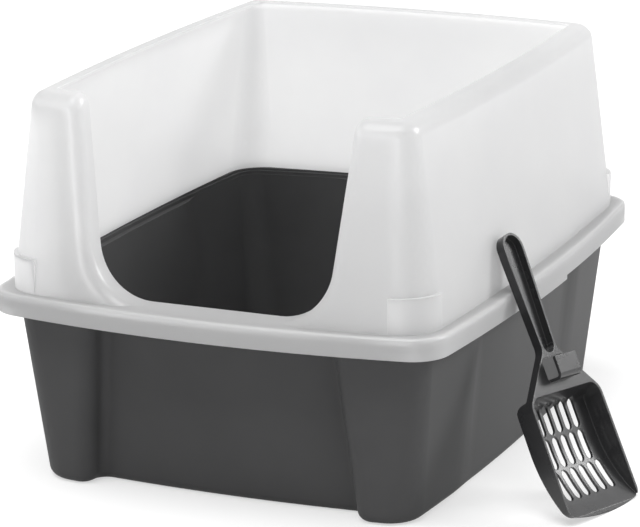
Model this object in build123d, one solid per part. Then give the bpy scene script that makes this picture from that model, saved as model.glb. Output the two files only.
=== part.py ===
from build123d import *
from math import atan2, cos, degrees, radians, sin, tan
import os

os.makedirs("parts", exist_ok=True)

# High-sided litter box: a deep tray, a tall frosted shield that caps its rim, and a slotted
# scoop that leans on the right-hand side.
# X runs across the box, the entry faces -Y, Z is up, and the origin is the middle of the
# tray's flat underside.

# Shield skirt, which covers the tray's rim
skirt_width = 381.0
skirt_depth = 479.0
skirt_corner = 29.0
skirt_bow_x = 11.2
skirt_bow_y = 17.4
skirt_bottom = 135.4
skirt_height = 16.2
skirt_edge_round = 2.5
shield_wall = 2.2
tab_length = 65.0
tab_drop = 3.4
tab_corner = 1.5

# Shield wall, from its foot on the ledge to its top edge
foot_width = 355.6
foot_depth = 453.6
foot_corner = 33.5
top_width = 321.5
top_depth = 419.5
top_corner = 16.0
wall_bow_x = 7.0
wall_bow_y = 11.0
shield_height = 301.7
shoulder_round = 12.7
lip_flat = 4.0
top_opening_corner = 6.0

# Entry: a cut-out open to the top, with its edge turned inward
entry_half_low = 91.6
entry_half_high = 109.6
entry_corner = 45.0
entry_lip_depth = 23.5
entry_edge_round = 9.0

# Corner pads at the foot of the shield wall
pad_start_x = 142.0
pad_start_y = 190.0
pad_height = 26.5

# Tray
tray_wall = 2.5
floor_thickness = 2.5
base_width = 320.0
base_depth = 420.0
base_corner = 28.0
base_bow_x = 9.0
base_bow_y = 9.5
base_round = 8.0
floor_round = 5.0
brim_under_width = 354.0
brim_under_depth = 452.5
brim_under_corner = 22.0
brim_under_bow_x = 11.2
brim_under_bow_y = 17.4
panel_depth = 20.5
panel_half_low = 110.5
panel_half_high = 97.0
panel_step_draft = 3.5
panel_outer_round = 13.0
panel_inner_round = 7.0
soft_panel_depth_high = 5.0
soft_panel_depth_low = 0.8
soft_panel_half_x = 118.0
soft_panel_half_y = 86.0
soft_panel_slope = 24.0
soft_panel_bend = 6.0

# Tray brim, which the shield sits on
brim_thickness = 3.0
brim_fit = 0.4
seat_fit = 0.0
brim_edge_height = 9.0
upper_step = 2.6
upper_step_height = 1.8
lower_step_height = 2.8

# Scoop
scoop_length = 219.5
bowl_half_tip = 45.5
bowl_half_rear = 44.0
bowl_length = 97.0
bowl_depth = 17.5
bowl_curve_length = 60.0
bowl_side_inset = 2.5
tip_bulge = 5.6
tip_corner = 7.0
bowl_rear_corner = 12.0
scoop_wall = 2.0
shoulder_end = 128.0
shoulder_corner = 12.0
neck_round = 9.0
handle_depth = 8.0
handle_half_neck = 8.8
handle_half_end = 11.8
handle_widest = 200.0
channel_start = 125.5
slot_width = 7.8
slot_length = 23.5
slot_pitch = 10.9
slot_start = 16.5
slot_row_pitch = 25.25
slot_row_counts = (6, 5, 5)
hook_width = 26.0
hook_height = 12.0
hook_start = 103.5
hook_reach = 17.5
hook_thickness = 2.4
hook_bend = 4.5
window_margin = 1.2
channel_depth = 6.0
heel_round = 5.0
heel_slope = 4.0
bowl_rear_slope = 8.0

# Where the scoop leans
lean_angle = 27.6
lean_turn = -14.0
lean_roll = 4.5
lean_y = -115.0
lean_fit = 0.3

ledge_top = skirt_bottom + skirt_height
ledge_under = ledge_top - shield_wall
brim_top = ledge_under - seat_fit
brim_under = brim_top - upper_step_height - lower_step_height - tray_wall


def bow(half_reach, bow_height, half_span, along):
    """Distance of a bowed side from the middle plane, at a place along it."""
    return half_reach - bow_height * (along / half_span) ** 2


def nearest(face, *places):
    """The face's corners that lie closest to the given places."""
    return [min(face.vertices(), key=lambda v: (Vector(v) - Vector(p)).length) for p in places]


def bowed_outline(width, depth, bow_x, bow_y, corner, z, inset=0.0):
    """Rectangle with bowed sides and rounded corners, moved inward by inset.
    Width and depth are at mid-side."""
    mid_x = width / 2 - inset
    mid_y = depth / 2 - inset
    hx = mid_x - bow_x * (2 * mid_y / depth) ** 2
    hy = mid_y - bow_y * (2 * mid_x / width) ** 2
    corners = [(-hx, -hy, z), (hx, -hy, z), (hx, hy, z), (-hx, hy, z)]
    mids = [(0, -mid_y, z), (mid_x, 0, z), (0, mid_y, z), (-mid_x, 0, z)]
    edges = [ThreePointArc(corners[i], mids[i], corners[(i + 1) % 4]) for i in range(4)]
    face = Face(Wire(edges))
    return face.fillet_2d(corner - inset, nearest(face, *corners))


def box(x0, x1, y0, y1, z0, z1):
    """Box between two corners."""
    size = (x1 - x0, y1 - y0, z1 - z0)
    return Pos(x0, y0, z0) * Box(*size, align=(Align.MIN, Align.MIN, Align.MIN))


def between(low_face, high_face):
    """Straight-sided solid between two outlines."""
    return Solid.make_loft([low_face.outer_wire(), high_face.outer_wire()], ruled=True)


def block(face, height):
    """The outline raised by a height."""
    return extrude(face, amount=height, dir=(0, 0, 1))


# Tray outline at one level: a deep square-edged panel at the front, and shallow panels with
# soft edges at the sides and back. share runs from 0 at the base to 1 under the brim.
def tray_outline(share, z, inset=0.0):
    def mix(low, high):
        return low + (high - low) * share

    bow_x = mix(base_bow_x, brim_under_bow_x)
    bow_y = mix(base_bow_y, brim_under_bow_y)
    full_x = mix(base_width, brim_under_width) / 2 - inset
    full_y = mix(base_depth, brim_under_depth) / 2 - inset
    hx = full_x - bow_x
    hy = full_y - bow_y
    panel = mix(panel_half_low, panel_half_high) + inset
    soft = mix(soft_panel_depth_low, soft_panel_depth_high)

    def side(y):
        return bow(full_x, bow_x, hy, y)

    def end(x):
        return bow(full_y, bow_y, hx, x)

    step = panel - panel_step_draft
    front = [
        (-hx, -hy),
        (-panel, -end(panel)),
        (-step, -end(step) + panel_depth),
        (step, -end(step) + panel_depth),
        (panel, -end(panel)),
        (hx, -hy),
    ]
    sx = soft_panel_half_x
    sy = soft_panel_half_y
    slope = soft_panel_slope
    right = [
        (side(sx), -sx),
        (side(sx - slope) - soft, slope - sx),
        (side(sx - slope) - soft, sx - slope),
        (side(sx), sx),
        (hx, hy),
    ]
    back = [
        (sy, end(sy)),
        (sy - slope, end(sy - slope) - soft),
        (slope - sy, end(sy - slope) - soft),
        (-sy, end(sy)),
        (-hx, hy),
    ]
    left = [(-x, -y) for x, y in right[:4]]
    points = [Vector(x, y, z) for x, y in front + right + back + left]
    middles = {
        0: ((hx + panel) / -2, -end((hx + panel) / 2)),
        2: (0, -end(0) + panel_depth),
        4: ((hx + panel) / 2, -end((hx + panel) / 2)),
        5: (side((hy + sx) / 2), (hy + sx) / -2),
        7: (side(0) - soft, 0),
        9: (side((hy + sx) / 2), (hy + sx) / 2),
        10: ((hx + sy) / 2, end((hx + sy) / 2)),
        12: (0, end(0) - soft),
        14: ((hx + sy) / -2, end((hx + sy) / 2)),
        15: (-side((hy + sx) / 2), (hy + sx) / 2),
        17: (soft - side(0), 0),
        19: (-side((hy + sx) / 2), (hy + sx) / -2),
    }
    edges = []
    for i, start in enumerate(points):
        finish = points[(i + 1) % len(points)]
        if i in middles:
            edges.append(ThreePointArc(start, (*middles[i], z), finish))
        else:
            edges.append(Line(start, finish))
    face = Face(Wire(edges))
    corners = [points[i] for i in (0, 5, 10, 15)]
    outer_steps = [points[i] for i in (1, 4)]
    inner_steps = [points[i] for i in (2, 3)]
    soft_bends = [points[i] for i in (6, 7, 8, 9, 11, 12, 13, 14, 16, 17, 18, 19)]
    corner = mix(base_corner, brim_under_corner) - inset
    face = face.fillet_2d(corner, nearest(face, *corners))
    face = face.fillet_2d(panel_outer_round - inset, nearest(face, *outer_steps))
    face = face.fillet_2d(panel_inner_round + inset, nearest(face, *inner_steps))
    soft_round = soft_panel_bend / tan(atan2(soft, slope) / 2)
    face = face.fillet_2d(soft_round, nearest(face, *soft_bends))
    return face


def plain_outline(z, inset):
    """Tray outline under the brim without its panels."""
    size = (brim_under_width, brim_under_depth, brim_under_bow_x, brim_under_bow_y)
    return bowed_outline(*size, brim_under_corner, z, inset)


def skirt_outline(z, inset=0.0):
    size = (skirt_width, skirt_depth, skirt_bow_x, skirt_bow_y)
    return bowed_outline(*size, skirt_corner, z, inset)


def build_tray():
    body = between(tray_outline(0, 0), tray_outline(1, brim_under))
    body = body.fillet(base_round, body.edges().group_by(Axis.Z)[0])
    body += block(plain_outline(brim_under, -upper_step), brim_top - brim_under)
    # The brim reaches out under the shield's ledge and turns down at its edge
    reach = shield_wall + brim_fit
    body += block(skirt_outline(brim_top - brim_thickness, reach), brim_thickness)
    edge_low = brim_top - brim_edge_height
    edge = block(skirt_outline(edge_low, reach), brim_edge_height)
    edge -= block(skirt_outline(edge_low, reach + tray_wall), brim_edge_height)
    body += edge
    # Inside, a wall's thickness within the outside, with two small steps up to the opening
    floor_share = floor_thickness / brim_under
    hollow = between(
        tray_outline(floor_share, floor_thickness, tray_wall),
        tray_outline(1, brim_under, tray_wall),
    )
    hollow = hollow.fillet(floor_round, hollow.edges().group_by(Axis.Z)[0])
    hollow += block(tray_outline(1, brim_under, tray_wall), tray_wall)
    hollow += block(plain_outline(brim_under + tray_wall, tray_wall), lower_step_height)
    opening_low = brim_top - upper_step_height
    hollow += block(plain_outline(opening_low, tray_wall - upper_step), upper_step_height + 1)
    return body - hollow


# Shield wall at one level, moved inward by inset
def wall_outline(z, inset=0.0):
    share = (z - ledge_top) / (shield_height - ledge_top)
    width = foot_width + (top_width - foot_width) * share
    depth = foot_depth + (top_depth - foot_depth) * share
    corner = foot_corner + (top_corner - foot_corner) * share
    return bowed_outline(width, depth, wall_bow_x, wall_bow_y, corner, z, inset)


def polygon(*points):
    return Face(Wire.make_polygon(points, close=True))


def entry_cutter(grow):
    """Entry outline, wider toward the top, running through from front to back."""
    lean = (entry_half_high - entry_half_low) / (shield_height - ledge_top)
    top = shield_height + 20
    low = entry_half_low + grow * (1 / cos(atan2(lean, 1)) - lean)
    bottom = ledge_top - grow
    high = low + lean * (top - bottom)
    back = foot_depth / 2 + 10
    ends = [(-low, back, bottom), (low, back, bottom)]
    face = polygon(*ends, (high, back, top), (-high, back, top))
    face = face.fillet_2d(entry_corner + grow, nearest(face, *ends))
    return extrude(face, amount=2 * back, dir=(0, -1, 0))


def entry_rim(solid, grow):
    """The edges along the top of the entry's two sides, which the rest of its rim follows."""
    reach = entry_half_high + 2 * grow + 1
    sides = [e for e in solid.edges() if abs(e.center().Y) < 1 and abs(e.center().X) < reach]
    top = max(e.center().Z for e in sides)
    return [e for e in sides if e.center().Z > top - 1]


def walled_block(inset, top, shoulder, grow, edge_round, back_low, back_high):
    """Block with rounded shoulders and a round-edged entry that stops at a plane."""
    low = skirt_bottom
    whole = between(wall_outline(low, inset), wall_outline(top, inset))
    whole = whole.fillet(shoulder, whole.edges().group_by(Axis.Z)[-1])
    opened = whole - entry_cutter(grow)
    opened = opened.fillet(edge_round, entry_rim(opened, grow))
    side = foot_width
    ahead = -foot_depth
    corners = [(ahead, low - 5), (back_low, low - 5), (back_high, top + 5), (ahead, top + 5)]
    front = extrude(polygon(*[(-side, y, z) for y, z in corners]), amount=2 * side, dir=(1, 0, 0))
    return (opened & front) + (whole - front)


def build_shield():
    lip_low = entry_lip_depth - foot_depth / 2
    draft = (foot_depth - top_depth) / 2 / (shield_height - ledge_top)
    lip_under = lip_low - draft * (ledge_top - skirt_bottom + 5)
    lip_high = lip_low + draft * (shield_height - ledge_top + 5)
    behind = entry_lip_depth + shoulder_round
    outer = walled_block(
        0, shield_height, shoulder_round, 0, entry_edge_round, lip_under + behind, lip_high + behind
    )
    hollow = walled_block(
        shield_wall,
        shield_height - shield_wall,
        shoulder_round - shield_wall,
        shield_wall,
        entry_edge_round - shield_wall,
        lip_under,
        lip_high,
    )
    wide = skirt_width
    deep = skirt_depth
    body = outer & box(-wide, wide, -deep, deep, ledge_under, shield_height + 1)
    skirt = block(skirt_outline(skirt_bottom), skirt_height)
    body += skirt.fillet(skirt_edge_round, skirt.edges().group_by(Axis.Z)[-1])
    # A thicker pad wraps each lower corner of the wall
    pads = block(wall_outline(ledge_top), pad_height)
    pads &= box(-wide, wide, -deep, -pad_start_y, 0, shield_height) + box(
        -wide, wide, pad_start_y, deep, 0, shield_height
    )
    pads -= box(-pad_start_x, pad_start_x, -deep, deep, 0, shield_height)
    body += pads
    body -= block(skirt_outline(skirt_bottom - 1, shield_wall), ledge_under - skirt_bottom + 1)
    body -= hollow
    inset = shoulder_round + lip_flat
    size = (top_width, top_depth, wall_bow_x, wall_bow_y)
    opening_low = shield_height - shoulder_round
    opening = bowed_outline(*size, top_opening_corner + inset, opening_low, inset)
    body -= block(opening, shoulder_round + 1)
    # A snap tab hangs from the middle of each side of the skirt
    tab_low = skirt_bottom - tab_drop
    ring = block(skirt_outline(tab_low), tab_drop + tab_corner)
    ring -= block(skirt_outline(tab_low, shield_wall), tab_drop + tab_corner)
    tab = box(-wide, wide, -tab_length / 2, tab_length / 2, tab_low, tab_low + tab_drop + tab_corner)
    tab = fillet(tab.edges().filter_by(Axis.X).group_by(Axis.Z)[0], tab_corner)
    return body + (ring & tab)


# Scoop, drawn flat: X across it, Y from the tip to the handle's end, Z out of the bowl.
def scoop_plan(start, inset):
    """Neck and handle outline from a place in the bowl back to the handle's end."""
    end = scoop_length - inset
    wide = handle_half_end - inset
    narrow = handle_half_neck - inset
    shoulder = bowl_half_rear - inset
    right = [
        (shoulder, start),
        (shoulder, bowl_length - shoulder_corner / 2 - inset / 2),
        (narrow, shoulder_end - inset / 2),
        (wide, handle_widest),
        (wide, end - wide),
    ]
    left = [(-x, y) for x, y in reversed(right)]
    edges = [Line(right[i], right[i + 1]) for i in range(4)]
    edges += [ThreePointArc(right[4], (0, end), left[0])]
    edges += [Line(left[i], left[i + 1]) for i in range(4)]
    edges += [Line(left[4], right[0])]
    face = Face(Wire(edges))
    face = face.fillet_2d(shoulder_corner - inset, nearest(face, right[1], left[3]))
    return face.fillet_2d(neck_round + inset, nearest(face, right[2], left[2]))


def bowl_plan(front, rear, inset, tip_round):
    """Bowl outline with a bulging tip and rounded rear corners."""
    tip = bowl_half_tip - inset
    back = bowl_half_rear - inset
    corners = [(-tip, front + tip_bulge), (tip, front + tip_bulge), (back, rear), (-back, rear)]
    edges = [ThreePointArc(corners[0], (0, front), corners[1])]
    edges += [Line(corners[i], corners[(i + 1) % 4]) for i in (1, 2, 3)]
    face = Face(Wire(edges))
    face = face.fillet_2d(bowl_rear_corner - inset, nearest(face, *corners[2:]))
    return face.fillet_2d(tip_round, nearest(face, *corners[:2])) if tip_round else face


def bowl_profile(wall, rear_low, rear_high, heel):
    """Side view of the bowl's underside, or of its floor when wall is its thickness."""
    radius = (bowl_curve_length**2 + bowl_depth**2) / (2 * bowl_depth)
    centre = radius - bowl_depth
    reach = radius - wall
    front = bowl_curve_length - (reach**2 - centre**2) ** 0.5
    middle = (front + bowl_curve_length) / 2
    sag = centre - (reach**2 - (bowl_curve_length - middle) ** 2) ** 0.5
    low = wall - bowl_depth
    wide = bowl_half_tip + 5
    first = (-wide, front, 0)
    floor_front = (-wide, bowl_curve_length, low)
    floor_rear = (-wide, rear_low, low)
    last = (-wide, rear_high, 0)
    curve = ThreePointArc(first, (-wide, middle, sag), floor_front)
    lines = [Line(floor_front, floor_rear), Line(floor_rear, last), Line(last, first)]
    face = Face(Wire([curve, *lines]))
    face = face.fillet_2d(heel, nearest(face, floor_rear))
    return extrude(face, amount=2 * wide, dir=(1, 0, 0))


def slot_cutter(x, start):
    slot = SlotOverall(slot_length, slot_width, rotation=90)
    return block(Pos(x, start + slot_length / 2, -2 * bowl_depth) * slot, 3 * bowl_depth)


def down(face, depth, taper=0.0):
    return extrude(face, amount=depth, dir=(0, 0, -1), taper=taper)


def build_scoop():
    draft = degrees(atan2(bowl_side_inset, bowl_depth))
    rear = bowl_length
    inner_rear = rear - 1
    # Outside: the bowl down to its floor, and the shallower neck and handle
    bowl = down(bowl_plan(0, rear + 1, 0, tip_corner), bowl_depth, draft)
    bowl &= bowl_profile(0, rear - heel_slope, rear, heel_round)
    start = rear - 3 * heel_round
    body = bowl + down(scoop_plan(start, 0), handle_depth, draft)
    # Bowl hollow, open at the tip
    hollow = down(bowl_plan(-2 * tip_bulge, inner_rear, scoop_wall, 0), bowl_depth, draft)
    floor_rear = inner_rear - bowl_rear_slope
    body -= hollow & bowl_profile(scoop_wall, floor_rear, inner_rear, heel_round)
    for row, count in enumerate(slot_row_counts):
        row_start = slot_start + row * slot_row_pitch
        for i in range(count):
            body -= slot_cutter((i - (count - 1) / 2) * slot_pitch, row_start)
    # The neck is hollow below its top plate, and the handle is a channel open on top
    wide = bowl_half_tip + 5
    neck_end = channel_start - scoop_wall
    inside = scoop_plan(start, scoop_wall)
    under = Pos(0, 0, -scoop_wall) * inside
    under = down(under, handle_depth)
    under &= box(-wide, wide, rear, neck_end, -bowl_depth, 0)
    body -= under
    # Its lower end is as round as its upper end
    channel_round = handle_half_neck - scoop_wall
    round_y = channel_start + channel_round
    channel = box(-wide, wide, round_y, scoop_length, -bowl_depth, 0)
    channel += down(Pos(0, round_y, 0) * Circle(channel_round), bowl_depth)
    body -= channel & down(inside, channel_depth)
    # Hook over a window in the neck, for hanging the scoop on the rim
    hook_end = hook_start + hook_reach
    half = hook_width / 2
    window = down(inside, handle_depth)
    near = hook_start + hook_thickness
    window &= box(-half - window_margin, half + window_margin, near, hook_end + window_margin, -bowl_depth, 0)
    body -= window
    # The hook seen from the side: up from the neck, then back over the window
    foot = -scoop_wall / 2
    inner = hook_height - hook_thickness
    outer_bend = (-half, hook_start, hook_height)
    inner_bend = (-half, near, inner)
    ends = [(-half, hook_end, hook_height), (-half, hook_end, inner)]
    side = polygon((-half, hook_start, foot), outer_bend, *ends, inner_bend, (-half, near, foot))
    side = side.fillet_2d(hook_bend, nearest(side, outer_bend))
    side = side.fillet_2d(hook_bend - hook_thickness, nearest(side, inner_bend))
    hook = extrude(side, amount=hook_width, dir=(1, 0, 0))
    return body + hook


def lean_scoop(scoop):
    """Stands the scoop's tip on the floor and leans its handle on the ledge and wall."""
    lean = radians(lean_angle)
    turn = radians(lean_turn)
    roll = radians(lean_roll)
    up = Vector(0, 0, 1)
    outward = Vector(cos(turn), sin(turn), 0)
    sideways = Vector(-sin(turn), cos(turn), 0)
    rising = up * cos(lean) - outward * sin(lean)
    facing = outward * cos(lean) + up * sin(lean)
    across = sideways * cos(roll) - rising * sin(roll)
    along = sideways * sin(roll) + rising * cos(roll)
    turned = Plane(origin=(0, 0, 0), x_dir=across, z_dir=facing).location * scoop
    tip_z = -turned.bounding_box().min.Z

    # Where the back of the handle meets the ledge's rounded edge
    crossing = (ledge_top - tip_z) / along.Z
    ledge_y = lean_y + crossing * along.Y - handle_half_neck * across.Y
    round_x = bow(skirt_width / 2, skirt_bow_x, skirt_depth / 2, ledge_y) - skirt_edge_round
    edge = Vector(round_x, ledge_y, ledge_top - skirt_edge_round)
    gap = skirt_edge_round + lean_fit + handle_depth
    ledge_x = (facing.dot(edge) + gap - facing.Y * lean_y - facing.Z * tip_z) / facing.X

    # Where the back of the handle's round end meets the wall
    radius = handle_half_end - handle_depth * bowl_side_inset / bowl_depth
    middle = Vector(0, lean_y, tip_z) + along * (scoop_length - handle_half_end) - facing * handle_depth
    slope = (foot_width - top_width) / 2 / (shield_height - ledge_top)
    bend = 2 * wall_bow_x * middle.Y / (foot_depth / 2) ** 2
    wall = Vector(1, bend, slope).normalized()
    wall_x = bow(foot_width / 2, wall_bow_x, foot_depth / 2, middle.Y) - slope * (middle.Z - ledge_top)
    reach = radius * (wall.dot(along) ** 2 + wall.dot(across) ** 2) ** 0.5
    end_x = wall_x - middle.X + (reach + lean_fit) / wall.X
    return Pos(max(ledge_x, end_x), lean_y, tip_z) * turned


tray = build_tray()
shield = build_shield()
scoop = lean_scoop(build_scoop())
export_step(tray, "parts/tray.step")
export_step(shield, "parts/shield.step")
export_step(scoop, "parts/scoop.step")
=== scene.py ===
import math

import bmesh
import bpy
from mathutils import Matrix, Vector


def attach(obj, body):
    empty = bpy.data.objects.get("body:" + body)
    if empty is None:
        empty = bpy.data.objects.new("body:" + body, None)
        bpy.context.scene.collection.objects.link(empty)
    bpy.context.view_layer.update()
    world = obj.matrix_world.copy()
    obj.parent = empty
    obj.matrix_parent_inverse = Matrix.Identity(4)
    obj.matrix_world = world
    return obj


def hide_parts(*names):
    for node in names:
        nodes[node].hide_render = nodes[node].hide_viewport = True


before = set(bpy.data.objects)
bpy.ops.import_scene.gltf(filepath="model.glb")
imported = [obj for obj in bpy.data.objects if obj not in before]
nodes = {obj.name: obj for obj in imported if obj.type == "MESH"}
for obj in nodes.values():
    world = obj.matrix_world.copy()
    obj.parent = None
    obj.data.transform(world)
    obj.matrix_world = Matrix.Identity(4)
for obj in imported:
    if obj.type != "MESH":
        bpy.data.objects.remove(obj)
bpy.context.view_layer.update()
scene = bpy.context.scene
scene.view_settings.view_transform = "Standard"


# Camera: its place and turn are solved from the box's own outlines

cameraSize = {
    "place": (0.97073, -2.2474, 0.81297),
    "azimuth": 23.47,
    "elevation": 15.51,
    "roll": -0.52,
    "lens": 180.6,
    "sensor": 36.0,
    "sight": 20.0,
}


def makeCamera(size):
    az = math.radians(size["azimuth"])
    el = math.radians(size["elevation"])
    back = Vector((math.sin(az) * math.cos(el), -math.cos(az) * math.cos(el), math.sin(el)))
    turn = Matrix.Rotation(math.radians(size["roll"]), 3, back)
    right = turn @ Vector((0, 0, 1)).cross(back).normalized()
    up = turn @ back.cross(Vector((0, 0, 1)).cross(back).normalized())
    data = bpy.data.cameras.new("camera")
    data.lens = size["lens"]
    data.sensor_width = size["sensor"]
    data.clip_end = size["sight"]
    rig = bpy.data.objects.new("camera", data)
    columns = Matrix((right, up, back)).transposed().to_4x4()
    rig.matrix_world = Matrix.Translation(size["place"]) @ columns
    scene.collection.objects.link(rig)
    scene.camera = rig


makeCamera(cameraSize)


# Light: an even pale studio that looks white to the eye, and three wide soft lamps. The
# one from behind on the right throws the scoop's soft shadow along the tray's side.

lightSize = {
    "world": 0.52,
    "lamps": {
        "sideLamp": {"toward": (1.0, 0.75, 0.75), "power": 2.2, "spread": 24},
        "backLamp": {"toward": (-0.5, 0.9, 0.9), "power": 0.35, "spread": 70},
        "topLamp": {"toward": (-0.1, -0.3, 1.0), "power": 2.8, "spread": 45},
    },
}


def whiteToEye(tree):
    # 1 for rays that come from the camera, or through or off a shiny surface
    path = tree.nodes.new("ShaderNodeLightPath")
    socket = path.outputs["Is Camera Ray"]
    for name in ("Is Glossy Ray", "Is Transmission Ray"):
        either = tree.nodes.new("ShaderNodeMath")
        either.operation = "MAXIMUM"
        tree.links.new(socket, either.inputs[0])
        tree.links.new(path.outputs[name], either.inputs[1])
        socket = either.outputs[0]
    return socket


def makeWorld(size):
    world = bpy.data.worlds.new("studio")
    scene.world = world
    world.use_nodes = True
    tree = world.node_tree
    tree.nodes.clear()
    out = tree.nodes.new("ShaderNodeOutputWorld")
    plain = tree.nodes.new("ShaderNodeBackground")
    plain.inputs["Strength"].default_value = size["world"]
    white = tree.nodes.new("ShaderNodeBackground")
    white.inputs["Color"].default_value = (1, 1, 1, 1)
    white.inputs["Strength"].default_value = 1.0
    mix = tree.nodes.new("ShaderNodeMixShader")
    tree.links.new(whiteToEye(tree), mix.inputs[0])
    tree.links.new(plain.outputs[0], mix.inputs[1])
    tree.links.new(white.outputs[0], mix.inputs[2])
    tree.links.new(mix.outputs[0], out.inputs["Surface"])


def makeLamp(name, size):
    data = bpy.data.lights.new(name, "SUN")
    data.angle = math.radians(size["spread"])
    data.energy = size["power"]
    lamp = bpy.data.objects.new(name, data)
    lamp.rotation_euler = Vector(size["toward"]).to_track_quat("Z", "Y").to_euler()
    scene.collection.objects.link(lamp)


makeWorld(lightSize)
for lampName, lampSize in lightSize["lamps"].items():
    makeLamp(lampName, lampSize)
print("camera and light ready")


# Floor: plain grey to the light it gives back, white to the eye except in the shadow

floorSize = {
    "reach": 6.0,
    "glow": 0.56,
    "seen": (0.42, 0.42, 0.42),
    "real": (0.8, 0.8, 0.8),
}


def makeFloor(size):
    reach = size["reach"]
    corners = [(-reach, -reach, 0), (reach, -reach, 0), (reach, reach, 0), (-reach, reach, 0)]
    mesh = bpy.data.meshes.new("floor")
    mesh.from_pydata(corners, [], [(0, 1, 2, 3)])
    floor = bpy.data.objects.new("floor", mesh)
    scene.collection.objects.link(floor)
    paint = bpy.data.materials.new("paleFloor")
    paint.use_nodes = True
    tree = paint.node_tree
    tree.nodes.clear()
    link = tree.links.new
    out = tree.nodes.new("ShaderNodeOutputMaterial")
    ground = tree.nodes.new("ShaderNodeBsdfDiffuse")
    ground.inputs["Color"].default_value = (*size["real"], 1)
    seen = tree.nodes.new("ShaderNodeBsdfDiffuse")
    seen.inputs["Color"].default_value = (*size["seen"], 1)
    glow = tree.nodes.new("ShaderNodeEmission")
    glow.inputs["Strength"].default_value = size["glow"]
    both = tree.nodes.new("ShaderNodeAddShader")
    mix = tree.nodes.new("ShaderNodeMixShader")
    link(whiteToEye(tree), mix.inputs[0])
    link(seen.outputs[0], both.inputs[0])
    link(glow.outputs[0], both.inputs[1])
    link(ground.outputs[0], mix.inputs[1])
    link(both.outputs[0], mix.inputs[2])
    link(mix.outputs[0], out.inputs["Surface"])
    mesh.materials.append(paint)
    return floor


makeFloor(floorSize)
print("floor ready")


# Moulded plastic: what the three finishes share

noiseSize = {
    "detail": 3.0,
    "low": 0.3,
    "high": 0.7,
}


# Noise at two scales on Object coordinates: Fine is for bump, Cloud for slow colour change
def mouldedGrain():
    group = bpy.data.node_groups.new("mouldedGrain", "ShaderNodeTree")
    for name, value in (("Grain Size", 0.0006), ("Cloud Size", 0.06), ("Sharpness", 0.6)):
        socket = group.interface.new_socket(name, in_out="INPUT", socket_type="NodeSocketFloat")
        socket.default_value = value
    for name in ("Fine", "Cloud"):
        group.interface.new_socket(name, in_out="OUTPUT", socket_type="NodeSocketFloat")
    enter = group.nodes.new("NodeGroupInput")
    leave = group.nodes.new("NodeGroupOutput")
    place = group.nodes.new("ShaderNodeTexCoord")
    for name, output in (("Grain Size", "Fine"), ("Cloud Size", "Cloud")):
        scale = group.nodes.new("ShaderNodeMath")
        scale.operation = "DIVIDE"
        scale.inputs[0].default_value = 1.0
        group.links.new(enter.outputs[name], scale.inputs[1])
        noise = group.nodes.new("ShaderNodeTexNoise")
        noise.inputs["Detail"].default_value = noiseSize["detail"]
        group.links.new(place.outputs["Object"], noise.inputs["Vector"])
        group.links.new(scale.outputs[0], noise.inputs["Scale"])
        group.links.new(enter.outputs["Sharpness"], noise.inputs["Roughness"])
        group.links.new(noise.outputs["Fac"], leave.inputs[output])
    return group


grainGroup = mouldedGrain()


def between(tree, socket, low, high):
    # Number that runs from low to high over the middle of the noise's range
    spread = tree.nodes.new("ShaderNodeMapRange")
    spread.inputs["From Min"].default_value = noiseSize["low"]
    spread.inputs["From Max"].default_value = noiseSize["high"]
    spread.inputs["To Min"].default_value = low
    spread.inputs["To Max"].default_value = high
    tree.links.new(socket, spread.inputs["Value"])
    return spread.outputs["Result"]


def tint(tree, socket, dark, pale):
    # Colour that runs from dark to pale with the noise
    mix = tree.nodes.new("ShaderNodeMix")
    mix.data_type = "RGBA"
    mix.inputs["A"].default_value = (*dark, 1)
    mix.inputs["B"].default_value = (*pale, 1)
    tree.links.new(between(tree, socket, 0, 1), mix.inputs["Factor"])
    return mix.outputs["Result"]


# The edge mask marks where a painted highlight goes, 1 on an edge and 0 half a radius away from
# it: one less the cosine of the angle between the surface and the same surface with its edges
# rounded, times a gain
def softEdge():
    group = bpy.data.node_groups.new("softEdge", "ShaderNodeTree")
    for name, value in (("Radius", 0.0006), ("Gain", 4.0)):
        socket = group.interface.new_socket(name, in_out="INPUT", socket_type="NodeSocketFloat")
        socket.default_value = value
    group.interface.new_socket("Edge", in_out="OUTPUT", socket_type="NodeSocketFloat")
    group.interface.new_socket("Normal", in_out="OUTPUT", socket_type="NodeSocketVector")
    enter = group.nodes.new("NodeGroupInput")
    leave = group.nodes.new("NodeGroupOutput")
    link = group.links.new
    rounded = group.nodes.new("ShaderNodeBevel")
    rounded.samples = 6
    link(enter.outputs["Radius"], rounded.inputs["Radius"])
    surface = group.nodes.new("ShaderNodeNewGeometry")
    cosine = group.nodes.new("ShaderNodeVectorMath")
    cosine.operation = "DOT_PRODUCT"
    link(rounded.outputs["Normal"], cosine.inputs[0])
    link(surface.outputs["Normal"], cosine.inputs[1])
    turn = group.nodes.new("ShaderNodeMath")
    turn.operation = "SUBTRACT"
    turn.inputs[0].default_value = 1.0
    link(cosine.outputs["Value"], turn.inputs[1])
    edge = group.nodes.new("ShaderNodeMath")
    edge.operation = "MULTIPLY"
    edge.use_clamp = True
    link(turn.outputs[0], edge.inputs[0])
    link(enter.outputs["Gain"], edge.inputs[1])
    link(edge.outputs[0], leave.inputs["Edge"])
    link(rounded.outputs["Normal"], leave.inputs["Normal"])
    return group


edgeGroup = softEdge()


def blend(tree, factor, low, high):
    # Low is a colour socket, high a fixed colour
    mix = tree.nodes.new("ShaderNodeMix")
    mix.data_type = "RGBA"
    mix.inputs["B"].default_value = (*high, 1)
    tree.links.new(factor, mix.inputs["Factor"])
    tree.links.new(low, mix.inputs["A"])
    return mix.outputs["Result"]


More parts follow.
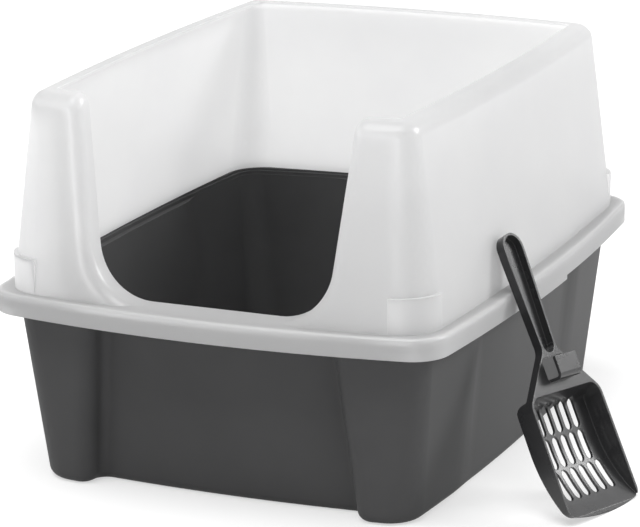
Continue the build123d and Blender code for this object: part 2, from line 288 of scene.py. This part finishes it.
def startPlastic(name, size):
    # Plastic with slow changes of colour and gloss, fine grain, softened edges and a painted
    # highlight along them
    paint = bpy.data.materials.new(name)
    paint.use_nodes = True
    tree = paint.node_tree
    link = tree.links.new
    shader = tree.nodes["Principled BSDF"]
    shader.inputs["IOR"].default_value = size["ior"]
    shader.inputs["Specular IOR Level"].default_value = size["sheen"]
    grain = tree.nodes.new("ShaderNodeGroup")
    grain.node_tree = grainGroup
    grain.inputs["Grain Size"].default_value = size["grain"]
    grain.inputs["Cloud Size"].default_value = size["cloud"]
    edge = tree.nodes.new("ShaderNodeGroup")
    edge.node_tree = edgeGroup
    edge.inputs["Radius"].default_value = size["edge"]
    colour = tint(tree, grain.outputs["Cloud"], size["dark"], size["pale"])
    # The edges are blended toward a paler colour: a painted highlight
    link(blend(tree, edge.outputs["Edge"], colour, size["paintedHighlight"]), shader.inputs["Base Color"])
    link(between(tree, grain.outputs["Cloud"], *size["roughness"]), shader.inputs["Roughness"])
    bump = tree.nodes.new("ShaderNodeBump")
    bump.inputs["Distance"].default_value = size["grainDepth"]
    link(grain.outputs["Fine"], bump.inputs["Height"])
    link(edge.outputs["Normal"], bump.inputs["Normal"])
    link(bump.outputs["Normal"], shader.inputs["Normal"])
    return paint


# Finishes. Lengths are in metres; the edge colour is a painted highlight along the edges, and
# sheen and coat are how strong the surface's reflections are.

trayFinish = {
    "dark": (0.059, 0.059, 0.06),
    "pale": (0.067, 0.067, 0.068),
    "paintedHighlight": (0.078, 0.078, 0.079),
    "ior": 1.49,
    "roughness": (0.5, 0.58),
    "grain": 0.0009,
    "grainDepth": 0.00004,
    "cloud": 0.07,
    "sheen": 0.12,
    "edge": 0.0006,
}
scoopFinish = {
    "dark": (0.018, 0.018, 0.019),
    "pale": (0.022, 0.022, 0.023),
    "paintedHighlight": (0.045, 0.045, 0.046),
    "ior": 1.5,
    "roughness": (0.25, 0.32),
    "grain": 0.002,
    "grainDepth": 0.00002,
    "cloud": 0.03,
    "sheen": 0.42,
    "coat": 0.25,
    "coatRoughness": 0.12,
    "edge": 0.0009,
}
shieldFinish = {
    "dark": (0.75, 0.75, 0.755),
    "pale": (0.78, 0.78, 0.78),
    "paintedHighlight": (0.95, 0.95, 0.95),
    "ior": 1.49,
    "roughness": (0.3, 0.38),
    "grain": 0.0008,
    "grainDepth": 0.00003,
    "cloud": 0.09,
    "sheen": 1.0,
    "edge": 0.0006,
    "through": 0.5,
    "clear": 0.15,
}


def frostedPlastic(name, size):
    # Lets soft light through: one share of the light comes from the lit side and the rest
    # from behind. The far face of each wall is clear, so that a wall scatters light once.
    paint = startPlastic(name, size)
    tree = paint.node_tree
    link = tree.links.new
    shader = tree.nodes["Principled BSDF"]
    shader.inputs["Transmission Weight"].default_value = size["clear"]
    behind = tree.nodes.new("ShaderNodeBsdfTranslucent")
    link(shader.inputs["Base Color"].links[0].from_socket, behind.inputs["Color"])
    link(shader.inputs["Normal"].links[0].from_socket, behind.inputs["Normal"])
    body = tree.nodes.new("ShaderNodeMixShader")
    body.inputs[0].default_value = size["through"]
    link(shader.outputs[0], body.inputs[1])
    link(behind.outputs[0], body.inputs[2])
    clear = tree.nodes.new("ShaderNodeBsdfTransparent")
    side = tree.nodes.new("ShaderNodeNewGeometry")
    wall = tree.nodes.new("ShaderNodeMixShader")
    link(side.outputs["Backfacing"], wall.inputs[0])
    link(body.outputs[0], wall.inputs[1])
    link(clear.outputs[0], wall.inputs[2])
    link(wall.outputs[0], tree.nodes["Material Output"].inputs["Surface"])
    return paint


def polishedPlastic(name, size):
    # The scoop's plastic has a brighter, sharper surface layer, on its rims above all
    paint = startPlastic(name, size)
    shader = paint.node_tree.nodes["Principled BSDF"]
    shader.inputs["Coat Weight"].default_value = size["coat"]
    shader.inputs["Coat Roughness"].default_value = size["coatRoughness"]
    return paint


trayPlastic = startPlastic("trayPlastic", trayFinish)
scoopPlastic = polishedPlastic("scoopPlastic", scoopFinish)
shieldPlastic = frostedPlastic("shieldPlastic", shieldFinish)
print("finishes ready")


# The three pieces

dressSize = {
    "join": 1e-6,
    "sharpAngle": 28,
}


def dressNode(name, title, paint, size):
    # A smooth-shaded copy of the CAD node, merged so that its faces share their corners.
    # Its own stored normals go first, since they would hide which edges are sharp.
    mesh = nodes[name].data.copy()
    mesh.name = title
    if "custom_normal" in mesh.attributes:
        mesh.attributes.remove(mesh.attributes["custom_normal"])
    piece = bpy.data.objects.new(title, mesh)
    scene.collection.objects.link(piece)
    work = bmesh.new()
    work.from_mesh(mesh)
    bmesh.ops.remove_doubles(work, verts=work.verts, dist=size["join"])
    work.to_mesh(mesh)
    work.free()
    mesh.materials.clear()
    mesh.materials.append(paint)
    mesh.shade_smooth()
    mesh.set_sharp_from_angle(angle=math.radians(size["sharpAngle"]))
    even = piece.modifiers.new("evenNormals", "WEIGHTED_NORMAL")
    even.keep_sharp = True
    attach(piece, name)
    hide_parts(name)
    print(title, len(mesh.vertices), "corners", len(mesh.polygons), "faces")


dressNode("tray", "deepTray", trayPlastic, dressSize)
dressNode("shield", "frostedShield", shieldPlastic, dressSize)
dressNode("scoop", "slottedScoop", scoopPlastic, dressSize)
